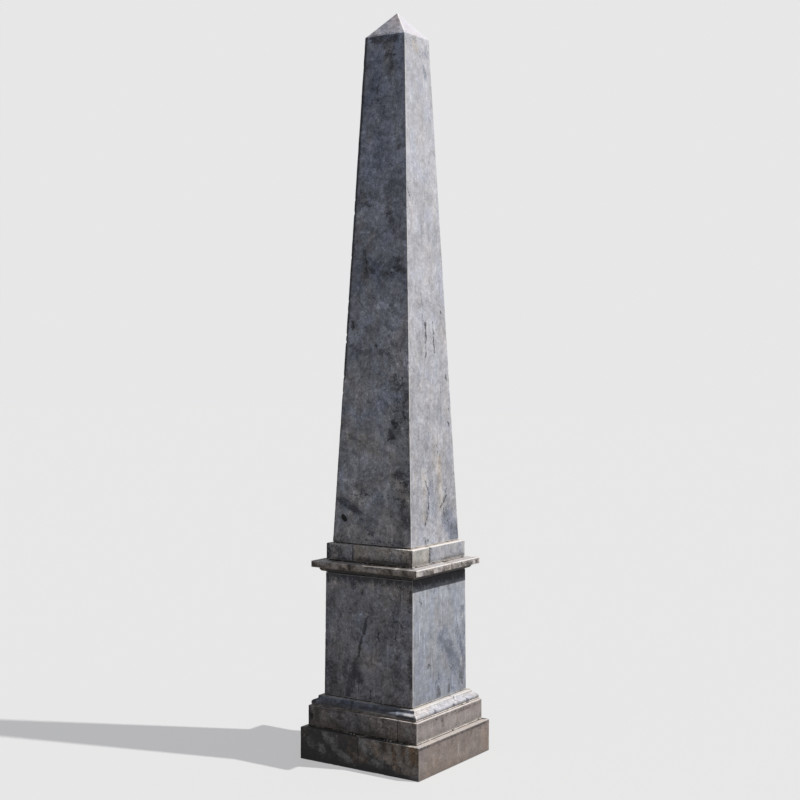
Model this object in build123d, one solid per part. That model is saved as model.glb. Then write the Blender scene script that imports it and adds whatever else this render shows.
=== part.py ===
from build123d import *
import os

os.makedirs("parts", exist_ok=True)

# A garden obelisk in dark blue-grey limestone, modelled from the ground up in millimetres.
# The origin is at ground level in the middle of its square plan. +Z is up, -Y is the front
# and +X is the right-hand side. It stands on a plinth, a base block, a moulded base, a plain
# die and a projecting cap; a low collar on the cap carries the tapered shaft, which ends in a
# small pyramid cut from the same stone. Thin beds of lime mortar lie between the courses.

# Driving dimensions: square widths and heights of the courses
PLINTH_WIDTH = 490.0
PLINTH_HEIGHT = 115.0
BASE_BLOCK_WIDTH = 450.0
BASE_BLOCK_HEIGHT = 70.0
BASE_MOULDING_HEIGHT = 30.0
DIE_FOOT_WIDTH = 368.0
DIE_BATTER = 3.5
DIE_HEIGHT = 435.0
CAP_WIDTH = 436.0
CAP_EDGE_HEIGHT = 23.0
COLLAR_WIDTH = 358.0
COLLAR_HEIGHT = 57.0
SHAFT_FOOT_WIDTH = 326.0
SHAFT_HEAD_WIDTH = 164.0
SHAFT_HEIGHT = 1775.0
TIP_HEIGHT = 90.0
TIP_FLAT_WIDTH = 5.0

# Driving dimensions: profile of the base moulding, from its foot to its top fillet
MOULDING_NOSE_PROJECTION = 33.5
MOULDING_NOSE_HEIGHT = 7.0
MOULDING_FILLET_PROJECTION = 15.5
MOULDING_FILLET_HEIGHT = 5.5

# Driving dimensions: small quarter-round under the cap's edge
CAP_ROUND_HEIGHT = 16.0
CAP_ROUND_RADIUS = 13.0
CAP_ROUND_PROJECTION = 17.0

# Driving dimensions: mortar beds, counted from the ground up, and how far they are raked back
PLINTH_BED = 6.0
BASE_BLOCK_BED = 4.0
BASE_MOULDING_BED = 2.0
DIE_BED = 3.0
CAP_BED = 5.0
COLLAR_BED = 3.0
BED_RAKE = 1.5

# Driving dimensions: where the upright joints fall, and the softened arrises
PLINTH_JOINT_X = 0.0
BASE_BLOCK_JOINT_X = 148.0
BASE_MOULDING_JOINT_X = -50.0
BASE_MOULDING_JOINT_Y = 66.0
CAP_JOINT_X = -55.0
CAP_JOINT_Y = 18.0
COLLAR_STONE_DEPTH = 112.0
ARRIS = 2.0
SHAFT_ARRIS = 2.5

# The die leans in by its batter on each face, so its head is narrower than its foot
die_head_width = DIE_FOOT_WIDTH - 2 * DIE_BATTER

# Levels of the courses, each resting on the bed below it
base_block_level = PLINTH_HEIGHT + PLINTH_BED
base_moulding_level = base_block_level + BASE_BLOCK_HEIGHT + BASE_BLOCK_BED
die_level = base_moulding_level + BASE_MOULDING_HEIGHT + BASE_MOULDING_BED
cap_level = die_level + DIE_HEIGHT + DIE_BED
cap_height = CAP_ROUND_HEIGHT + CAP_EDGE_HEIGHT
collar_level = cap_level + cap_height + CAP_BED
shaft_level = collar_level + COLLAR_HEIGHT + COLLAR_BED

SIDES = ("front", "right", "back", "left")


def save(solid, node):
    """Writes one stone or bed as its own file."""
    export_step(solid, f"parts/{node}.step")


def cuboid(x_range, y_range, z_range):
    """A rectangular block between three pairs of limits."""
    size = [high - low for low, high in (x_range, y_range, z_range)]
    middle = [(low + high) / 2 for low, high in (x_range, y_range, z_range)]
    return Pos(*middle) * Box(*size)


def sawn_stone(x_range, y_range, z_range):
    """A rectangular stone with softened arrises."""
    block = cuboid(x_range, y_range, z_range)
    return chamfer(block.edges(), ARRIS)


def square_slab(width, level, height):
    """A square slab centred on the plan."""
    half = width / 2
    return cuboid((-half, half), (-half, half), (level, level + height))


def bed(width, level, thickness):
    """A mortar bed, raked back from the face of the narrower stone beside it."""
    return square_slab(width - 2 * BED_RAKE, level, thickness)


def moulded_course(outline):
    """A square course whose four sides all have the given outline, mitred at the corners.

    The outline is a closed face in the XZ plane that shows the whole width of the course.
    """
    reach = outline.bounding_box().size.X
    along_y = extrude(outline, reach, both=True)
    along_x = Rot(0, 0, 90) * along_y
    return along_y & along_x


def mirrored_outline(right_hand_edges):
    """Closes the right-hand edge of a section with its mirror image."""
    right = Wire(right_hand_edges)
    left = right.mirror(Plane.YZ)
    foot = Line(left @ 0, right @ 0)
    head = Line(right @ 1, left @ 1)
    return make_face([*right.edges(), *left.edges(), foot, head])


def quartered(course, joint_x, joint_y):
    """Cuts a course into four stones along two upright joints that cross."""
    box = course.bounding_box()
    x_limits = {"left": (box.min.X, joint_x), "right": (joint_x, box.max.X)}
    y_limits = {"front": (box.min.Y, joint_y), "back": (joint_y, box.max.Y)}
    stones = {}
    for y_side, y_range in y_limits.items():
        for x_side, x_range in x_limits.items():
            space = cuboid(x_range, y_range, (box.min.Z, box.max.Z))
            stones[f"{y_side}_{x_side}"] = (course & space).solid()
    return stones


def plinth():
    """Two stones side by side, which meet on a joint that shows at front and back."""
    half = PLINTH_WIDTH / 2
    levels = (0, PLINTH_HEIGHT)
    save(sawn_stone((-half, PLINTH_JOINT_X), (-half, half), levels), "plinth_left")
    save(sawn_stone((PLINTH_JOINT_X, half), (-half, half), levels), "plinth_right")
    save(bed(BASE_BLOCK_WIDTH, PLINTH_HEIGHT, PLINTH_BED), "mortar_on_plinth")


def base_block():
    """A wide stone and a narrow closer, which meet near the right-hand side."""
    half = BASE_BLOCK_WIDTH / 2
    top = base_block_level + BASE_BLOCK_HEIGHT
    levels = (base_block_level, top)
    save(sawn_stone((-half, BASE_BLOCK_JOINT_X), (-half, half), levels), "base_block_wide")
    save(sawn_stone((BASE_BLOCK_JOINT_X, half), (-half, half), levels), "base_block_closer")
    foot_width = DIE_FOOT_WIDTH + 2 * MOULDING_NOSE_PROJECTION
    save(bed(foot_width, top, BASE_BLOCK_BED), "mortar_on_base_block")


def base_moulding_outline():
    """Nose, swelling curve, hollow curve and top fillet, as seen in section."""
    face = DIE_FOOT_WIDTH / 2
    foot = base_moulding_level
    top = foot + BASE_MOULDING_HEIGHT
    nose_x = face + MOULDING_NOSE_PROJECTION
    nose_top = foot + MOULDING_NOSE_HEIGHT
    fillet_x = face + MOULDING_FILLET_PROJECTION
    fillet_foot = top - MOULDING_FILLET_HEIGHT
    turn = ((nose_x + fillet_x) / 2, (nose_top + fillet_foot) / 2)
    nose = Line((nose_x, foot), (nose_x, nose_top))
    swelling = TangentArc(nose @ 1, turn, tangent=(0, 1))
    hollow = TangentArc(swelling @ 1, (fillet_x, fillet_foot), tangent=swelling % 1)
    fillet_edge = Line(hollow @ 1, (fillet_x, top))
    edges = [Plane.XZ * edge for edge in (nose, swelling, hollow, fillet_edge)]
    return mirrored_outline(edges)


def base_moulding():
    """Four moulded stones with returned corners, which meet on crossing joints."""
    course = moulded_course(base_moulding_outline())
    stones = quartered(course, BASE_MOULDING_JOINT_X, BASE_MOULDING_JOINT_Y)
    for place, stone in stones.items():
        save(stone, f"base_moulding_{place}")
    top = base_moulding_level + BASE_MOULDING_HEIGHT
    save(bed(DIE_FOOT_WIDTH, top, BASE_MOULDING_BED), "mortar_on_base_moulding")


def tapered_stone(widths_and_levels):
    """A square stone that narrows in straight stages."""
    sections = [Pos(0, 0, level) * Rectangle(width, width) for width, level in widths_and_levels]
    return loft(sections, ruled=True)


def die():
    """The plain block of the pedestal, with a slight batter."""
    top = die_level + DIE_HEIGHT
    stone = tapered_stone([(DIE_FOOT_WIDTH, die_level), (die_head_width, top)])
    save(chamfer(stone.edges(), ARRIS), "die")
    save(bed(die_head_width, top, DIE_BED), "mortar_on_die")


def cap_outline():
    """Small quarter-round under a plain projecting edge, as seen in section."""
    face = die_head_width / 2
    foot = cap_level
    shelf = foot + CAP_ROUND_HEIGHT
    top = shelf + CAP_EDGE_HEIGHT
    round_x = face + CAP_ROUND_PROJECTION
    round_foot = (round_x - CAP_ROUND_RADIUS, foot)
    round_head = (round_x, foot + CAP_ROUND_RADIUS)
    edge_x = CAP_WIDTH / 2
    quarter_round = TangentArc(round_foot, round_head, tangent=(1, 0))
    points = [
        round_head,
        (round_x, shelf),
        (edge_x - ARRIS, shelf),
        (edge_x, shelf + ARRIS),
        (edge_x, top - ARRIS),
        (edge_x - ARRIS, top),
    ]
    run = Polyline(*points)
    edges = [Plane.XZ * edge for edge in (quarter_round, *run.edges())]
    return mirrored_outline(edges)


def cap():
    """Four cap stones with the quarter-round worked on their underside."""
    course = moulded_course(cap_outline())
    for place, stone in quartered(course, CAP_JOINT_X, CAP_JOINT_Y).items():
        save(stone, f"cap_{place}")
    save(bed(COLLAR_WIDTH, cap_level + cap_height, CAP_BED), "mortar_on_cap")


def collar():
    """Four stones laid head to side round a core, each showing its end on the next face."""
    half = COLLAR_WIDTH / 2
    levels = (collar_level, collar_level + COLLAR_HEIGHT)
    inner = half - COLLAR_STONE_DEPTH
    front_stone = sawn_stone((-inner, half), (-half, -inner), levels)
    for turns, side in enumerate(SIDES):
        save(Rot(0, 0, 90 * turns) * front_stone, f"collar_{side}")
    save(square_slab(2 * inner, collar_level, COLLAR_HEIGHT), "collar_core")
    save(bed(SHAFT_FOOT_WIDTH, levels[1], COLLAR_BED), "mortar_on_collar")


def shaft():
    """The tapered shaft and its pyramid, one stone."""
    shoulder = shaft_level + SHAFT_HEIGHT
    stages = [
        (SHAFT_FOOT_WIDTH, shaft_level),
        (SHAFT_HEAD_WIDTH, shoulder),
        (TIP_FLAT_WIDTH, shoulder + TIP_HEIGHT),
    ]
    stone = tapered_stone(stages)
    long_arrises = stone.edges().filter_by(lambda edge: edge.length > SHAFT_HEIGHT)
    save(chamfer(long_arrises, SHAFT_ARRIS), "shaft")


plinth()
base_block()
base_moulding()
die()
cap()
collar()
shaft()
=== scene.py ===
import math
from itertools import cycle
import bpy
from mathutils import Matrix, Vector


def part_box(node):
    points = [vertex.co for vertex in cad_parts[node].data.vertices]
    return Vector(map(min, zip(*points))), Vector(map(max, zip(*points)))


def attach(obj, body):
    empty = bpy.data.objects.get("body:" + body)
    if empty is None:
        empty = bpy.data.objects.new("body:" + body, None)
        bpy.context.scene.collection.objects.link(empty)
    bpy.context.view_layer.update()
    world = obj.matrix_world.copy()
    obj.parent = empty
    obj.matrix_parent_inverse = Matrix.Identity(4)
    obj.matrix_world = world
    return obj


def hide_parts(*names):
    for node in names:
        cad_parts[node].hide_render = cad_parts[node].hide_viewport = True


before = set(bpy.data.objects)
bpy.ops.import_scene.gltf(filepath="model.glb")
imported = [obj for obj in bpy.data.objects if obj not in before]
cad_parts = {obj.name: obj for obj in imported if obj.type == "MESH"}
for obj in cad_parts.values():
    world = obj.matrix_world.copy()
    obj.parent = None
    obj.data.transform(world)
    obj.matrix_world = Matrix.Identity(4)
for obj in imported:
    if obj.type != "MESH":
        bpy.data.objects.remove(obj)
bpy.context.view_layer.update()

from types import SimpleNamespace

import bpy
import numpy as np
from mathutils import Vector

# A weathered limestone obelisk. Every stone and mortar bed of the frame that shows is replaced by a
# worn one of the same size, with rubbed arrises and chips in its mesh and its colours in a material
# made of noise and painted marks. The front of the obelisk faces -Y and its right-hand side faces +X.
# Lengths are in metres, but the listed strokes and cracks are in millimetres.

# Camera, fitted to the corners of the courses in the 800 x 800 photograph
PHOTO_SIZE = 800
FOCAL_PIXELS = 1440.4
PRINCIPAL_X = 300.0
CAMERA_PLACE = (2.7344, -4.3418, 1.4217)
CAMERA_AZIMUTH = math.radians(36.036)
CAMERA_PITCH = math.radians(-1.7)
SENSOR_WIDTH = 36.0
VIEW_DEPTH = 200

# Light: a high key lamp beyond the right-hand side, and a pale room
KEY_DIRECTION = (0.510, 0.207, 0.849)
KEY_STRENGTH = 6.2
KEY_SPREAD = math.radians(1.0)
KEY_COLOUR = (1.0, 0.985, 0.955)
ROOM_STRENGTH = 0.26
ROOM_COLOUR = (0.94, 0.97, 1.06, 1.0)
BACKDROP_COLOUR = (0.80, 0.80, 0.81, 1.0)

# Floor: what the camera sees keeps the shadow and glows a little, and the stone meets a duller one
FLOOR_SIZE = 60.0
FLOOR_COLOUR = (0.20, 0.20, 0.20, 1.0)
FLOOR_GLOW = 0.53
FLOOR_UNSEEN = (0.10, 0.10, 0.10, 1.0)

# Fineness of the stones' meshes: the lines beside an arris, the others, and those of a fine stretch
LINES_BY_ARRIS = (0.0, 0.0008, 0.0017, 0.0028, 0.0042, 0.0060, 0.0085)
FACE_SPACING = 0.0062
LEDGE_SPACING = 0.005
LEDGE_DEPTH = 0.060
FINE_SHARE = 0.3
# How much of an edge, and of a stone's thickness, the work on one arris may take up
END_SHARE = 0.45
THIN_SHARE = 0.3
QUARTER_TURN = [math.radians(15 * step) for step in range(7)]

# The stones' forms: softened arrises, and the profiles of pyramid, base moulding and cap
ARRIS = 0.002
SHOULDER_MARGIN = 0.001
TIP_HEIGHT = 0.090
TIP_HALF = 0.0025
NOSE_HEIGHT = 0.007
NOSE_TO_FILLET = 0.018
FILLET_HEIGHT = 0.0055
CAP_EDGE_HEIGHT = 0.023
EDGE_TO_ROUND = 0.0205
ROUND_RADIUS = 0.013

# Joints and mortar: how far short of its course a stone stops at a joint, how far a bed stands out
# from where the frame has it, how soft its edges are, and how high above a ledge the crumbs lie
JOINT_SETBACK = 0.03
POINTING = 0.0013
MORTAR_ARRIS = 0.0006
CRUMB_LIFT = 0.0006

# Seeds of the wear: the first of a course's stones, before its level is added, and of the beds
COURSE_SEED = 3.0
BED_SEED = 20.0

# Least differences: between two levels of the frame's corners, and what counts as nought
SAME_LEVEL = 1e-5
TINY = 1e-9

SIDES = ("front", "right", "back", "left")
# What is painted: dark stains, soot, bleached spots, ochre and bluish stains, and spots without stone.
# Some strokes of stain and soot are painted shade and shadow, some pale ones painted sunlight, and some
# ochre ones painted warm bounce light.
MASKS = ("stain", "soot", "pale", "ochre", "cool", "void")


# Colours

def colour(red, green, blue):
    """A display colour, 0 to 255, as the linear one that a shader takes."""

    def linear(value):
        value /= 255
        return value / 12.92 if value <= 0.04045 else ((value + 0.055) / 1.055) ** 2.4

    return (linear(red), linear(green), linear(blue), 1.0)


# Dark colours of crust and soot, which the painted shade and shadow strokes take too
CRUST_AND_SHADE = colour(50, 51, 57)
WARM_CRUST_AND_SHADE = colour(56, 50, 47)
SOOT_AND_SHADE = colour(26, 26, 31)
VOID = colour(14, 14, 16)
# A pale lime colour, which the painted sunlight and highlights take too
LIME_AND_LIGHT = colour(206, 203, 200)
MORTAR_GRIT = colour(110, 103, 98)
# Mortar on the shaded sides, in two tones: painted shade, darker than the same mortar on the sunlit
# sides; the paler pair is for the bed on the base block
SHADED_SIDE_MORTAR = (colour(50, 43, 38), colour(106, 97, 85))
PALER_SHADED_SIDE_MORTAR = (colour(120, 110, 98), colour(196, 184, 168))

# Tints multiply the stone's own colour
WARM_TINT = (1.12, 1.0, 0.86, 1.0)
COOL_TINT = (0.90, 0.99, 1.16, 1.0)
OCHRE_TINT = (1.03, 0.95, 0.83, 1.0)
COOL_STAIN_TINT = (0.54, 0.58, 0.65, 1.0)


# Sizes read from the frame

def course_box(nodes):
    """The box round all stones of a course."""
    boxes = [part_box(node) for node in nodes]
    low = Vector([min(box[0][axis] for box in boxes) for axis in range(3)])
    high = Vector([max(box[1][axis] for box in boxes) for axis in range(3)])
    return low, high


def half_width_at(node, level):
    """Half the width of a node's outline at a level, from its corner points nearest to it."""
    points = np.array([v.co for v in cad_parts[node].data.vertices])
    nearest = np.abs(points[:, 2] - level).min() + SAME_LEVEL
    ring = points[np.abs(points[:, 2] - level) <= nearest]
    return float(np.abs(ring[:, :2]).max())


def named(prefix):
    """The nodes whose names start so, in a fixed order."""
    return sorted(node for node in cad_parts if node.startswith(prefix))


def joints_of(node, nodes):
    """Which sides of a stone are joints: those that stop short of the course's own faces."""
    low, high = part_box(node)
    course_low, course_high = course_box(nodes)
    joints = {}
    for axis, (low_side, high_side) in enumerate((("left", "right"), ("front", "back"))):
        if low[axis] > course_low[axis] + JOINT_SETBACK:
            joints[low_side] = low[axis]
        if high[axis] < course_high[axis] - JOINT_SETBACK:
            joints[high_side] = high[axis]
    return joints


# Meshes of worn stones

def graded(length, spacing, fine=None):
    """Distances along an edge: close together near its two ends and inside the fine stretch."""
    near = [d for d in LINES_BY_ARRIS if d < length * END_SHARE]
    inner = length - 2 * near[-1]
    count = max(1, round(inner / spacing))
    middle = [near[-1] + inner * i / count for i in range(1, count)]
    far = [length - d for d in near]
    extra = np.arange(*fine, spacing * FINE_SHARE) if fine else []
    return np.unique(np.round([*near, *middle, *far, *extra], 6))


def softened(points, radius, steps=4):
    """Rounds the inner corners of an open outline with short curves."""
    points = [np.array(p, float) for p in points]
    out = [points[0]]
    for before, corner, after in zip(points, points[1:], points[2:]):
        to_before, to_after = before - corner, after - corner
        reach_before, reach_after = np.linalg.norm(to_before), np.linalg.norm(to_after)
        cut = min(radius, END_SHARE * reach_before, END_SHARE * reach_after)
        start = corner + to_before / reach_before * cut
        end = corner + to_after / reach_after * cut
        for t in np.linspace(0.0, 1.0, steps + 1):
            out.append((1 - t) ** 2 * start + 2 * t * (1 - t) * corner + t ** 2 * end)
    out.append(points[-1])
    return out


def resampled(outline, spacing, fine=None):
    """Adds points along the long runs of an outline, and more between the two fine levels."""
    out = [outline[0]]
    for a, b in zip(outline, outline[1:]):
        run = np.subtract(b, a)
        length = float(np.linalg.norm(run))
        steps = [length]
        if length > 1.5 * spacing:
            spans = fine and a[1] < fine[0] < b[1]
            steps = graded(length, spacing, [level - a[1] for level in fine] if spans else None)[1:]
        out += [np.add(a, run * d / length) for d in steps]
    return np.array(out)


class Blank:
    """A stone before it is worn: a closed stack of square rings, and what the wear has to know."""

    def __init__(
        self, name, outline, joints=None, arris=ARRIS, tip=False, fine_levels=None, fine_shares=None
    ):
        self.name = name
        self.joints = joints or {}
        self.outline = resampled(softened(outline, arris), FACE_SPACING, fine_levels)
        self.fine_shares = fine_shares
        self.arris = arris
        self.tip = tip
        self.shoulder = outline[1][1] + SHOULDER_MARGIN if tip else math.inf
        self.foot = float(self.outline[0][1])
        self.head = float(self.outline[-1][1])
        self.lay_rings()
        self.round_arrises()

    def lay_rings(self):
        """Stacks the rings: underside, side faces, and the ledge on top. A pyramid is a ledge too."""
        onward = np.arange(LINES_BY_ARRIS[-1] + LEDGE_SPACING, LEDGE_DEPTH, LEDGE_SPACING)
        deepest = THIN_SHARE * self.shortest_side()
        steps = [d for d in (*LINES_BY_ARRIS[1:], *onward) if d < deepest]
        stages = [(*self.outline[0], d, 0.0) for d in reversed(steps)]
        stages += [(*point, 0.0, float(point[1] > self.shoulder)) for point in self.outline]
        if not self.tip:
            stages += [(*self.outline[-1], d, 1.0) for d in steps]
        shares = self.shares_of_sides()
        rings, planes, ledges = [], [], []
        for width, level, inset, ledge in stages:
            ring = self.ring(self.limits(width, inset), shares)
            rings.append(np.column_stack([ring, np.full(len(ring), level)]))
            planes.append(self.limits(width, 0.0))
            ledges.append(np.full(len(ring), ledge))
        self.rings = np.array(rings)
        self.planes = np.array(planes)
        self.ledge = np.array(ledges)
        around = np.repeat(range(4), [len(shares[side]) for side in SIDES])
        self.side_numbers = np.tile(around, (len(rings), 1))

    def shares_of_sides(self):
        """Where the upright lines fall along each side, as shares of its length."""
        shares = {}
        for side in SIDES:
            length = self.side_length(side, max(self.outline[:, 0]))
            fine = None
            if side == "front" and self.fine_shares:
                fine = [share * length for share in self.fine_shares]
            shares[side] = graded(length, FACE_SPACING, fine)[:-1] / length
        return shares

    def ring(self, limits, shares):
        """One ring of points, from the front left corner anticlockwise as seen from above."""
        x0, x1, y0, y1 = limits
        corners = [np.array(c) for c in ((x0, y0), (x1, y0), (x1, y1), (x0, y1), (x0, y0))]
        runs = []
        for side, start, end in zip(SIDES, corners, corners[1:]):
            runs.append(start + (end - start) * shares[side][:, None])
        return np.vstack(runs)

    def limits(self, width, inset):
        """Lowest and highest x and y of a ring."""
        half = width - inset
        stops = {"left": -half, "right": half, "front": -half, "back": half}
        for side, joint in self.joints.items():
            stops[side] = joint + inset if side in ("left", "front") else joint - inset
        return tuple(stops.values())

    def side_length(self, side, width):
        """Length of one side of a ring."""
        x0, x1, y0, y1 = self.limits(width, 0.0)
        return x1 - x0 if side in ("front", "back") else y1 - y0

    def shortest_side(self):
        """Least length of a side: at the narrowest ring, or at the foot under a pyramid."""
        narrowest = max(self.outline[:, 0]) if self.tip else min(self.outline[:, 0])
        return min(self.side_length(side, narrowest) for side in SIDES)

    def round_arrises(self):
        """Rolls the points near an arris onto a small ball, and notes how far each is from one."""
        p = self.rings
        x0, x1, y0, y1 = (self.planes[:, i][:, None] for i in range(4))
        gap_low = np.stack([p[..., 0] - x0, p[..., 1] - y0, p[..., 2] - self.foot])
        gap_high = np.stack([x1 - p[..., 0], y1 - p[..., 1], self.head - p[..., 2]])
        if self.tip:
            gap_high[2] = 1.0
        nearest_low = gap_low < gap_high
        gap = np.maximum(np.where(nearest_low, gap_low, gap_high), 0.0)
        self.arris_gap = np.sort(gap, axis=0)[1]
        to_side = dict(zip(("left", "front"), gap_low[:2]))
        to_side.update(zip(("right", "back"), gap_high[:2]))
        far = np.ones(p.shape[:2])
        self.joint_gap = np.min([far, *(to_side[side] for side in self.joints)], axis=0)
        radius = np.minimum(self.arris, THIN_SHARE * np.minimum(x1 - x0, y1 - y0)) * far
        inside = np.maximum(radius - gap, 0.0)
        length = np.sqrt((inside ** 2).sum(axis=0))
        shrink = np.where(length > radius, radius / np.maximum(length, TINY), 1.0)
        rolled = np.where(gap < radius, radius - inside * shrink, gap)
        moved = (rolled - gap) * np.where(nearest_low, 1.0, -1.0)
        self.rings = p + np.moveaxis(moved, 0, -1)

    def points(self):
        """The points of all rings, as one list."""
        return self.rings.reshape(-1, 3)

    def mesh(self, painted):
        """The closed mesh, with the wear's distances and the painted masks as attributes."""
        levels, around = self.rings.shape[:2]
        index = np.arange(levels * around).reshape(levels, around)
        turned = np.roll(index, -1, axis=1)
        quads = np.stack([index[:-1], turned[:-1], turned[1:], index[1:]], axis=-1).reshape(-1, 4)
        faces = [tuple(quad) for quad in quads.tolist()]
        faces.append(tuple(reversed(index[0].tolist())))
        faces.append(tuple(index[-1].tolist()))
        mesh = bpy.data.meshes.new(self.name)
        mesh.from_pydata(self.points().tolist(), [], faces)
        masks = {"arris": self.arris_gap, "joint": self.joint_gap}
        masks.update(ledge=self.ledge, sunny=self.side_numbers % 2, **painted)
        for mask, values in masks.items():
            layer = mesh.attributes.new(mask, "FLOAT", "POINT")
            layer.data.foreach_set("value", np.asarray(values, dtype=np.float32).reshape(-1))
        mesh.validate()
        return mesh


# Marks painted on the stones. They are placed on the front and the right-hand side, and
# the back and the left-hand side get them again, turned through half a circle. A stroke is
# written as across and level of its start, across and level of its end, width and strength.

def metres(lengths):
    """Lengths in metres, from millimetres."""
    return [length / 1000 for length in lengths]


def stroke(blank, side, across, level, end_across, end_level, width, strength):
    """How strongly a stroke covers each point of a side and, turned, of the side opposite."""
    points = blank.points()
    numbers = blank.side_numbers.reshape(-1)
    first = SIDES.index(side)
    turned = np.where(numbers == first, 1.0, -1.0)
    place = np.column_stack([points[:, first] * turned, points[:, 2]])
    start = np.array((across, level))
    run = np.array((end_across, end_level)) - start
    along = np.clip(((place - start) @ run) / max(run @ run, TINY), 0.0, 1.0)
    gap = np.linalg.norm(place - (start + along[:, None] * run), axis=1)
    cover = np.exp(-((gap / width) ** 2)) * strength
    return np.where(numbers % 2 == first, cover, 0.0)


def painting(blank, marks):
    """The strongest stroke of each mask at every point of a stone."""
    masks = {mask: np.zeros(len(blank.points())) for mask in MASKS}
    for (mask, side), strokes in marks.items():
        for *lengths, strength in strokes:
            cover = stroke(blank, side, *metres(lengths), strength)
            masks[mask] = np.maximum(masks[mask], cover)
    return masks


# Building with nodes

class Wire:
    """What a socket puts out. A sum written with wires becomes math nodes."""

    def __init__(self, bench, socket):
        self.bench = bench
        self.socket = socket

    def __add__(self, other):
        return self.bench.math("ADD", self, other)

    def __sub__(self, other):
        return self.bench.math("SUBTRACT", self, other)

    def __rsub__(self, other):
        return self.bench.math("SUBTRACT", other, self)

    def __mul__(self, other):
        return self.bench.math("MULTIPLY", self, other)

    def __rtruediv__(self, other):
        return self.bench.math("DIVIDE", other, self)

    __radd__ = __add__
    __rmul__ = __mul__


class Bench:
    """Adds nodes to one tree and wires them up."""

    def __init__(self, tree):
        self.tree = tree

    def node(self, kind, values=None, **settings):
        """Settings go in first, since a group node has no sockets before it has its tree."""
        made = self.tree.nodes.new(kind)
        for setting, value in settings.items():
            setattr(made, setting, value)
        for socket, value in (values or {}).items():
            self.feed(made.inputs[socket], value)
        return made

    def feed(self, socket, value):
        """Wires a value into a socket, or sets it there."""
        if isinstance(value, Wire):
            self.tree.links.new(value.socket, socket)
        else:
            socket.default_value = value

    def out(self, kind, values=None, output=0, **settings):
        """The wire from one output of a new node."""
        return Wire(self, self.node(kind, values, **settings).outputs[output])

    def math(self, operation, a, b=0.0, clamp=False):
        """A sum with one or two numbers."""
        return self.out("ShaderNodeMath", {0: a, 1: b}, operation=operation, use_clamp=clamp)

    def vector(self, operation, a, b):
        """A sum with two vectors."""
        return self.out("ShaderNodeVectorMath", {0: a, 1: b}, operation=operation)

    def measure(self, operation, a, b=(0.0, 0.0, 0.0)):
        """A vector sum whose result is a number."""
        return self.out("ShaderNodeVectorMath", {0: a, 1: b}, output="Value", operation=operation)

    def scaled(self, vector, scale):
        """A vector times a number."""
        return self.out("ShaderNodeVectorMath", {0: vector, "Scale": scale}, operation="SCALE")

    def joined(self, x, y, z):
        """A vector made of three numbers."""
        return self.out("ShaderNodeCombineXYZ", {0: x, 1: y, 2: z})

    def fade(self, value, low, high, to_low=0.0, to_high=1.0):
        """A smooth step from one value to another."""
        values = {"Value": value, "From Min": low, "From Max": high}
        values.update({"To Min": to_low, "To Max": to_high})
        return self.out("ShaderNodeMapRange", values, interpolation_type="SMOOTHSTEP")

    def noise(self, place, scale, detail=3.0, roughness=0.55, distortion=0.0, output=0):
        """Noise from 0 to 1, or three of them as a vector from output 1."""
        values = {"Vector": place, "Scale": scale, "Detail": detail}
        values.update({"Roughness": roughness, "Distortion": distortion})
        return self.out("ShaderNodeTexNoise", values, output)

    def swing(self, place, scale, detail=3.0, roughness=0.55, distortion=0.0):
        """Noise that swings about nought."""
        return self.noise(place, scale, detail, roughness, distortion) - 0.5

    def blend(self, share, a, b, kind="MIX"):
        """Mixes two colours."""
        made = self.node("ShaderNodeMix", data_type="RGBA", blend_type=kind, clamp_factor=True)
        for socket, value in ((0, share), (6, a), (7, b)):
            self.feed(made.inputs[socket], value)
        return Wire(self, made.outputs[2])

    def washed(self, share, base, tint):
        """A colour with a share of a tint multiplied into it."""
        return self.blend(share, base, self.blend(1.0, base, tint, "MULTIPLY"))

    def attribute(self, label):
        """A mask or a distance that is stored in a stone's mesh."""
        return self.out("ShaderNodeAttribute", output="Fac", attribute_name=label)

    def place(self):
        """The place on the obelisk, in metres."""
        return self.out("ShaderNodeTexCoord", output="Object")

    def group(self, tree, **inputs):
        """The wires from a new group node."""
        values = {titled(label): value for label, value in inputs.items()}
        made = self.node("ShaderNodeGroup", values, node_tree=tree)
        return [Wire(self, socket) for socket in made.outputs]

    def effect(self, tree, **inputs):
        """The wire from a group node that puts out one value."""
        return self.group(tree, **inputs)[0]


def titled(label):
    """The name that a socket shows, from the name that the code uses."""
    return label.replace("_", " ").title()


# Kinds of socket that have no default value, and samples of what a group can put out
GEOMETRY, MATERIAL = "NodeSocketGeometry", "NodeSocketMaterial"
NUMBER, COLOUR = 0.0, (0.0, 0.0, 0.0, 1.0)


def socket_type(default):
    """The kind of socket that a default value calls for."""
    if isinstance(default, str):
        return default
    if isinstance(default, tuple):
        return "NodeSocketVector" if len(default) == 3 else "NodeSocketColor"
    return "NodeSocketInt" if isinstance(default, int) else "NodeSocketFloat"


def group_tree(name, kind, inputs, outputs):
    """A node group with named sockets, its bench, the wires from its inputs, and its outputs."""
    tree = bpy.data.node_groups.new(name, kind)
    for label, default in inputs.items():
        kind_in = socket_type(default)
        socket = tree.interface.new_socket(titled(label), in_out="INPUT", socket_type=kind_in)
        if kind_in != default:
            socket.default_value = default
    for label, sample in outputs.items():
        kind_out = socket_type(sample)
        tree.interface.new_socket(titled(label), in_out="OUTPUT", socket_type=kind_out)
    bench = Bench(tree)
    entry = bench.node("NodeGroupInput").outputs
    given = SimpleNamespace(**{label: Wire(bench, entry[titled(label)]) for label in inputs})
    return bench, given, bench.node("NodeGroupOutput").inputs


# Wear: one Geometry Nodes tree wears the blanks, and another strews crumbs of mortar

def dressed(bench, given, geometry):
    """The last two nodes of both trees: real meshes, in their material."""
    real = bench.out("GeometryNodeRealizeInstances", {0: geometry})
    return bench.out("GeometryNodeSetMaterial", {0: real, "Material": given.material})


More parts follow.
